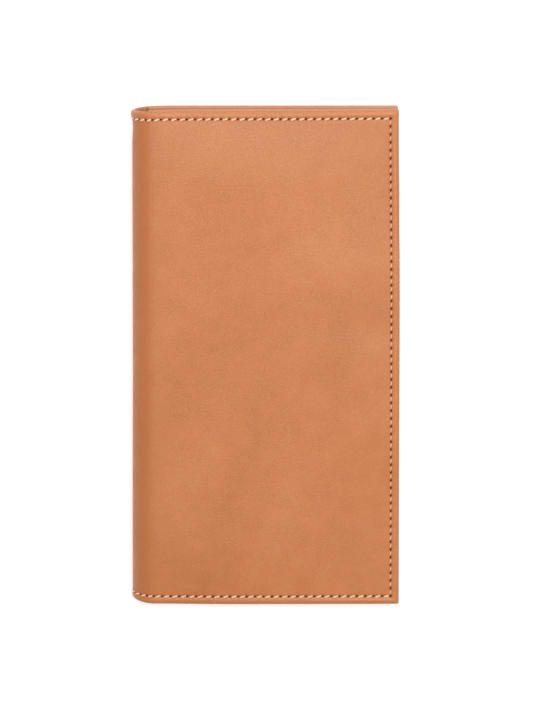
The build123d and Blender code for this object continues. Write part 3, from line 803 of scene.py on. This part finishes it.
def make_card_pockets():
    """Each pocket from its foot to its mouth, coming down over the feet of those behind it. Only the last
    one reaches the lower seam, and has lines at its holes."""
    for number, (foot, mouth) in enumerate(zip(FEET, MOUTHS), 1):
        ramps = [spread(behind - CARD_RAMP, behind, 0.5) for behind in FEET[: number - 1]]
        last = number == CARD_POCKETS
        y = part_y(foot, mouth, *ramps, ACROSS_SEAM - SEAM_Y)
        slab(f"card_pocket_leather_{number}", on_front, ROW_X if last else POCKET_X, y,
             lambda x, y, n=number: card_level(n, y), lambda x, y, n=number: card_level(n, y) + CARD_T,
             INNER, [f"card_pocket_{number}"], "front", radii=CARD_RADII,
             far_marks=marks([*EDGE_SEAMS, INNER_SIDE_SEAM], pit=THIN_PIT))


# ---- zipped coin pocket and slip pocket ----
def coin_face(x, y):
    """Depth of the inside of the back half: header, zip tape, coin pocket front, slip pocket."""
    leather_face = np.where(y > SLIP_Y, COIN_FACE_D, SLIP_FACE_D)
    return np.where((y > COIN_Y) & (y < HEADER_Y), TAPE_FACE_D, leather_face)


def thumb_notch(x, y):
    """The mouth of the slip pocket comes down by √(r² - (x - middle)²), and less the further below it."""
    notch = np.sqrt(np.clip(THUMB_R**2 - (x - PANEL_MIDDLE) ** 2, 0, None))
    reach = 4 * THUMB_R
    return x, y - notch * smooth((y - SLIP_Y + reach) / reach)


def make_coin_pocket():
    """Side strips, leather above and below the zip, and the slip pocket with its thumb notch."""
    make_strips("coin_pocket_strips", "back", INNER, spine_side=True)
    coin_x = lines(PANEL_X + THIN_RIM, OPEN_X - THIN_RIM, hole_lines(COIN_SEAM[:, 0]),
                   SEAM_X + ACROSS_SEAM, INNER_SEAM_X + ACROSS_SEAM)
    header_x = lines(coin_x, hole_lines(UPPER_SEAM[:, 0]))
    header_y = part_y(HEADER_Y, END_Y, HEADER_ROW_Y + ACROSS_SEAM, SEAM_Y + ACROSS_SEAM)
    coin_y = part_y(-END_Y, COIN_Y, COIN_ROW_Y + ACROSS_SEAM)
    thumb_x = PANEL_MIDDLE + THUMB_R * np.sin(np.linspace(-math.pi / 2, math.pi / 2, 41))
    slip_y = part_y(-END_Y, SLIP_Y, ACROSS_SEAM - SEAM_Y)
    side_seams = [SIDE_SEAM, INNER_SIDE_SEAM]
    made = (
        ("zip_header", header_x, header_y, [*side_seams, UPPER_SEAM, HEADER_SEAM], None),
        ("coin_pocket_front", coin_x, coin_y, [*side_seams, COIN_SEAM], None),
        ("slip_pocket", lines(ROW_X, thumb_x), slip_y, [*side_seams, LOWER_SEAM], thumb_notch),
    )
    for node, x, y, seams, warp in made:
        near, far = span(node, "back")
        slab(f"{node}_leather", on_back, x, y, near, far, INNER, [node], "back",
             radii=COIN_RADII, far_marks=marks(seams, pit=THIN_PIT), warp=warp)


def make_teeth(node, way):
    """A row of equal teeth. Each is a closed tube across the tape with stations (distance from the middle
    line, half width w, half height h) and the section (w |cos a|^0.5, h |sin a|^0.5)."""
    station = np.array([(2.12, 0.20, 0.30), (2.05, 0.34, 0.48), (1.85, 0.38, 0.56), (1.25, 0.38, 0.57),
                        (1.08, 0.26, 0.44), (0.72, 0.25, 0.42), (0.55, 0.34, 0.46), (0.34, 0.34, 0.44),
                        (0.22, 0.22, 0.30)])
    angle = (np.arange(SIDES) + 0.5) * 2 * math.pi / SIDES
    wide = np.sign(np.cos(angle)) * np.abs(np.cos(angle)) ** 0.5
    high = np.sign(np.sin(angle)) * np.abs(np.sin(angle)) ** 0.5
    low, top = cad(node)
    count = round((top[0] - low[0]) / TOOTH_PITCH)
    middle_x = (low[0] + top[0]) / 2 + (np.arange(count) - (count - 1) / 2) * TOOTH_PITCH
    middle_z = (low[2] + top[2]) / 2
    x = middle_x[:, None, None] + station[None, :, 1, None] * wide
    y = np.broadcast_to(ZIP_Y + way * station[None, :, 0, None], x.shape)
    z = np.broadcast_to(middle_z + station[None, :, 2, None] * high, x.shape)
    points = np.stack([x, y, z], axis=-1).reshape(-1, 3)
    add_piece(f"{node}_row", points, tube_quads(count), BRASS, [node], {}, "back", sharp=60)


TAPE_NEAR, TAPE_FAR = 0.95, 10.4  # the tape's edges, from the middle line of the zip
CORD_AT, CORD_W, CORD_H = 2.6, 0.32, 0.22


def tape_cord(y):
    """Height of the cord along the teeth: h exp(-((distance from the middle line - at)/width)²)."""
    return CORD_H * np.exp(-(((np.abs(y - ZIP_Y) - CORD_AT) / CORD_W) ** 2))


def make_zip():
    """Tapes with a rounded cord along the teeth, the teeth, and the bevelled brass stops and cloth bag."""
    for side, way in (("upper", 1), ("lower", -1)):
        node = f"zip_tape_{side}"
        near, far = span(node, "back")
        start, end = sorted((ZIP_Y + way * TAPE_NEAR, ZIP_Y + way * TAPE_FAR))
        y = lines(start + THIN_RIM, end - THIN_RIM, ZIP_Y + way * spread(TAPE_NEAR, 4.0, 0.15))
        x = lines(PANEL_X + 0.1 + THIN_RIM, OPEN_X - 0.1 - THIN_RIM, spread(PANEL_X + 1, OPEN_X - 1, 3.0))
        slab(f"{node}_cloth", on_back, x, y, near, lambda x, y, far=far: far + tape_cord(y), TAPE,
             [node], "back", radii=TAPE_RADII)
        make_teeth(f"zip_teeth_{side}", way)
    bevelled = {"zip_stop_open": 0.16, "zip_stop_closed": 0.16, "coin_bag_lining": 0.05}
    for node, bevel in bevelled.items():
        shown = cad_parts[node]
        shown.data.materials.clear()
        shown.data.materials.append(CLOTH if node == "coin_bag_lining" else BRASS)
        rounding = shown.modifiers.new("rounded_edges", "BEVEL")
        rounding.width = bevel * MM
        rounding.segments = 3
        rounding.limit_method = "ANGLE"
        rounding.angle_limit = math.radians(40)
        rounding.harden_normals = True


PLATE_RIM = np.array([0, 0.03, 0.07, 0.12, 0.18])
PLATE_RADII = (0.1, 0.16)


def plate(name, node, middle, half, levels, dome=0.0, taper=0.0, squareness=0.55):
    """A rounded metal plate: x = u √(1 - k (v/b)²/2) and y = v w √(1 - k (u/a)²/2) for |u| < a and |v| < b,
    where w narrows by the taper towards -X, with turned-over edges and a domed upper face."""
    a, b = half

    def place(u, v, level):
        wide = 1 - taper * (1 - smooth((u + a) / (1.3 * a)))
        x = u * np.sqrt(1 - squareness * (v / b) ** 2 / 2)
        y = v * wide * np.sqrt(1 - squareness * (u / a) ** 2 / 2)
        return np.stack([middle[0] + x, middle[1] + y, level], axis=-1)

    def top(u, v):
        return levels[1] + dome * ((1 - (u / a) ** 2) * (1 - (v / b) ** 2) - 1)

    u = lines(PLATE_RIM - a, a - PLATE_RIM, spread(-a, a, 0.35))
    v = lines(PLATE_RIM - b, b - PLATE_RIM, spread(-b, b, 0.35))
    slab(name, place, u, v, levels[0], top, BRASS, [node], "slider", radii=PLATE_RADII)


def make_bail(middle, foot_z, top_z):
    """The arch over the slider, a flat strip: for t from -1 to 1, x = span sign(t) |t|^0.6 and z rises from
    the feet by √(1 - t⁴). Its section turns with the arch."""
    half_span, half_w, half_t = 2.15, 0.5, 0.16
    t = np.linspace(-1, 1, RINGS)[:, None]
    angle = np.linspace(0, 2 * math.pi, SIDES, endpoint=False) + math.pi / SIDES
    arch_x = half_span * np.sign(t) * np.abs(t) ** 0.6
    arch_z = foot_z - 0.05 + (top_z - foot_z - 0.12) * (1 - t**4) ** 0.5
    lean = np.clip(np.abs(t) * 1.6 - 0.5, 0, 1) * np.sign(t) * math.pi / 2
    x = middle[0] + arch_x + half_t * np.sin(lean) * np.sin(angle)
    y = middle[1] + half_w * np.cos(angle) + 0 * t
    z = arch_z + half_t * np.cos(lean) * np.sin(angle)
    bail = np.stack([x, y, z], axis=-1).reshape(-1, 3)
    add_piece("zip_slider_bail", bail, tube_quads(1), BRASS, ["zip_slider"], {}, "slider",
              sharp=60)


def make_puller_ring(middle, middle_z):
    """A flattened ring: its section has the radius r ± w |cos|^0.7 and the height ± h |sin|^0.7."""
    r, half_w, half_t, narrower = 1.55, 0.5, 0.215, 0.93
    around, turn = np.meshgrid(np.linspace(0, 2 * math.pi, 48, endpoint=False),
                               np.linspace(0, 2 * math.pi, 12, endpoint=False), indexing="ij")
    reach = r + half_w * np.sign(np.cos(turn)) * np.abs(np.cos(turn)) ** 0.7
    height = middle_z + half_t * np.sign(np.sin(turn)) * np.abs(np.sin(turn)) ** 0.7
    x, y = middle[0] + reach * np.cos(around), middle[1] + narrower * reach * np.sin(around)
    ring = np.stack([x, y, height], axis=-1)
    index = np.arange(around.size).reshape(around.shape)
    corners = [index, np.roll(index, -1, 0), np.roll(np.roll(index, -1, 0), -1, 1), np.roll(index, -1, 1)]
    quads = np.stack(corners, axis=-1).reshape(-1, 4)
    add_piece("zip_puller_ring", ring.reshape(-1, 3), quads, BRASS, ["zip_puller"], {}, "slider")


def make_slider():
    """Slider with two plates, side flanges and a bail, and the puller with its ring round the bail."""
    low, high = cad("zip_slider")
    middle = (low + high) / 2
    half = (high - low)[:2] / 2
    puller_low, puller_high = cad("zip_puller")
    plate_t = 0.45
    upper = (puller_low[2] - 0.55, puller_low[2] - 0.08)
    plate("zip_slider_upper_plate", "zip_slider", middle, half, upper, dome=0.12, taper=0.2)
    plate("zip_slider_lower_plate", "zip_slider", middle, half, (low[2], low[2] + plate_t), taper=0.2)
    for side, way in (("upper", 1), ("lower", -1)):
        flange = middle + np.array([0.6, way * (half[1] - 0.35), 0])
        flange_levels = (upper[0] - 0.45, upper[0] + 0.1)
        plate(f"zip_slider_{side}_flange", "zip_slider", flange, (2.0, 0.28), flange_levels)
    make_bail(middle, upper[1], high[2])

    levels = (puller_low[2], puller_high[2])
    ring_x = puller_high[0] - 2.0
    tab_end = ring_x - 1.3
    tab = ((puller_low[0] + tab_end) / 2, middle[1])
    plate("zip_puller_tab", "zip_puller", tab, ((tab_end - puller_low[0]) / 2, 1.9), levels, dome=0.06,
          taper=-0.25, squareness=0.4)
    make_puller_ring((ring_x, middle[1]), sum(levels) / 2)


# ---- thread ----
def between(holes, y0, y1):
    """The stitch holes of an upright seam from y0 to y1."""
    return holes[(holes[:, 1] > y0) & (holes[:, 1] < y1)]


COVER_SIDE_STITCH = (0.62, 0.2, 0.18)  # start, sink and half width: short, and pulled into the leather


def make_thread():
    """Edge seams outside and inside, and the seams of the card pockets and the coin pocket."""
    for side, place, face in (("back", on_back, coin_face), ("front", on_front, card_face)):
        runs = [(place, holes, flat_level(0.0), -1, ROW_SLANT) for holes in (UPPER_SEAM, LOWER_SEAM)]
        runs.append((place, SIDE_SEAM, flat_level(0.0), -1, SIDE_SLANT, *COVER_SIDE_STITCH))
        runs += [(place, holes, face, 1, -ROW_SLANT) for holes in (UPPER_SEAM, LOWER_SEAM)]
        runs.append((place, SIDE_SEAM, face, 1, -SIDE_SLANT))
        stitches(f"{side}_edge_stitches", runs, [f"{side}_seam_thread"], side)
    stitches("card_pocket_stitches", [(on_front, INNER_SIDE_SEAM, card_face, 1, -SIDE_SLANT)],
             ["card_seam_thread"], "front")
    past_row = 1  # the upright seam runs on this far past the rows beside the zip
    stretches = ((HEADER_ROW_Y - past_row, END_Y), (SLIP_Y, COIN_ROW_Y + past_row), (-END_Y, SLIP_Y))
    side_runs = [between(INNER_SIDE_SEAM, *stretch) for stretch in stretches]
    runs = [(on_back, holes, coin_face, 1, -SIDE_SLANT) for holes in side_runs]
    runs += [(on_back, holes, coin_face, 1, -ROW_SLANT) for holes in (HEADER_SEAM, COIN_SEAM)]
    stitches("coin_pocket_stitches", runs, ["coin_seam_thread"], "back")


make_covers()
make_spine()
make_panels()
make_card_pockets()
make_coin_pocket()
make_zip()
make_slider()
make_thread()


# ---- floor, light and camera ----
def make_floor():
    """A plain pale floor just below the wallet."""
    s = Surface("pale_floor", Specular_IOR_Level=0.1, Emission_Strength=0.45)
    s.shader.inputs["Emission Color"].default_value = (1, 1, 1, 1)
    grain = s.noise(0.01, 2)
    floor_surface = s.done(s.ramp(grain, [(0.3, (0.84, 0.84, 0.84)), (0.7, (0.86, 0.86, 0.86))]),
                           s.ranged(grain, 0, 1, 0.8, 0.9))
    half, level = 6.0, -0.0005
    corners = [(-half, -half, level), (half, -half, level), (half, half, level), (-half, half, level)]
    mesh = bpy.data.meshes.new("floor")
    mesh.from_pydata(corners, [], [(0, 1, 2, 3)])
    mesh.materials.append(floor_surface)
    floor = bpy.data.objects.new("floor", mesh)
    bpy.context.scene.collection.objects.link(floor)


def make_light(name, place, size, power):
    """A square soft light that faces the wallet and isn't seen itself."""
    data = bpy.data.lights.new(name, "AREA")
    data.shape, data.size, data.energy = "SQUARE", size, power
    light = bpy.data.objects.new(name, data)
    light.location = place
    light.rotation_euler = light.location.to_track_quat("Z", "Y").to_euler()
    light.visible_camera = False
    bpy.context.scene.collection.objects.link(light)


def make_camera():
    """Looks down on the wallet from a little beyond its upper end, from far away."""
    tilt, distance = math.radians(11.3), 3.0
    data = bpy.data.cameras.new("camera")
    data.lens = 405.6
    camera = bpy.data.objects.new("camera", data)
    aim = np.array([0.0004, 0.0003, 0.008])
    camera.location = aim + distance * np.array([0.0, math.sin(tilt), math.cos(tilt)])
    camera.rotation_euler = (-tilt, 0.0, 0.0)
    bpy.context.scene.collection.objects.link(camera)
    bpy.context.scene.camera = camera


make_floor()
make_light("soft_light", (0.16, 0.26, 1.2), size=0.55, power=10.5)
make_light("low_light", (-0.1, 1.1, 0.75), size=0.7, power=4.5)
world = bpy.data.worlds.new("soft_room")
world.use_nodes = True
surroundings = world.node_tree.nodes["Background"].inputs
surroundings["Color"].default_value = (1.0, 1.0, 1.0, 1.0)
surroundings["Strength"].default_value = 0.36
bpy.context.scene.world = world
bpy.context.scene.view_settings.view_transform = "Standard"
make_camera()
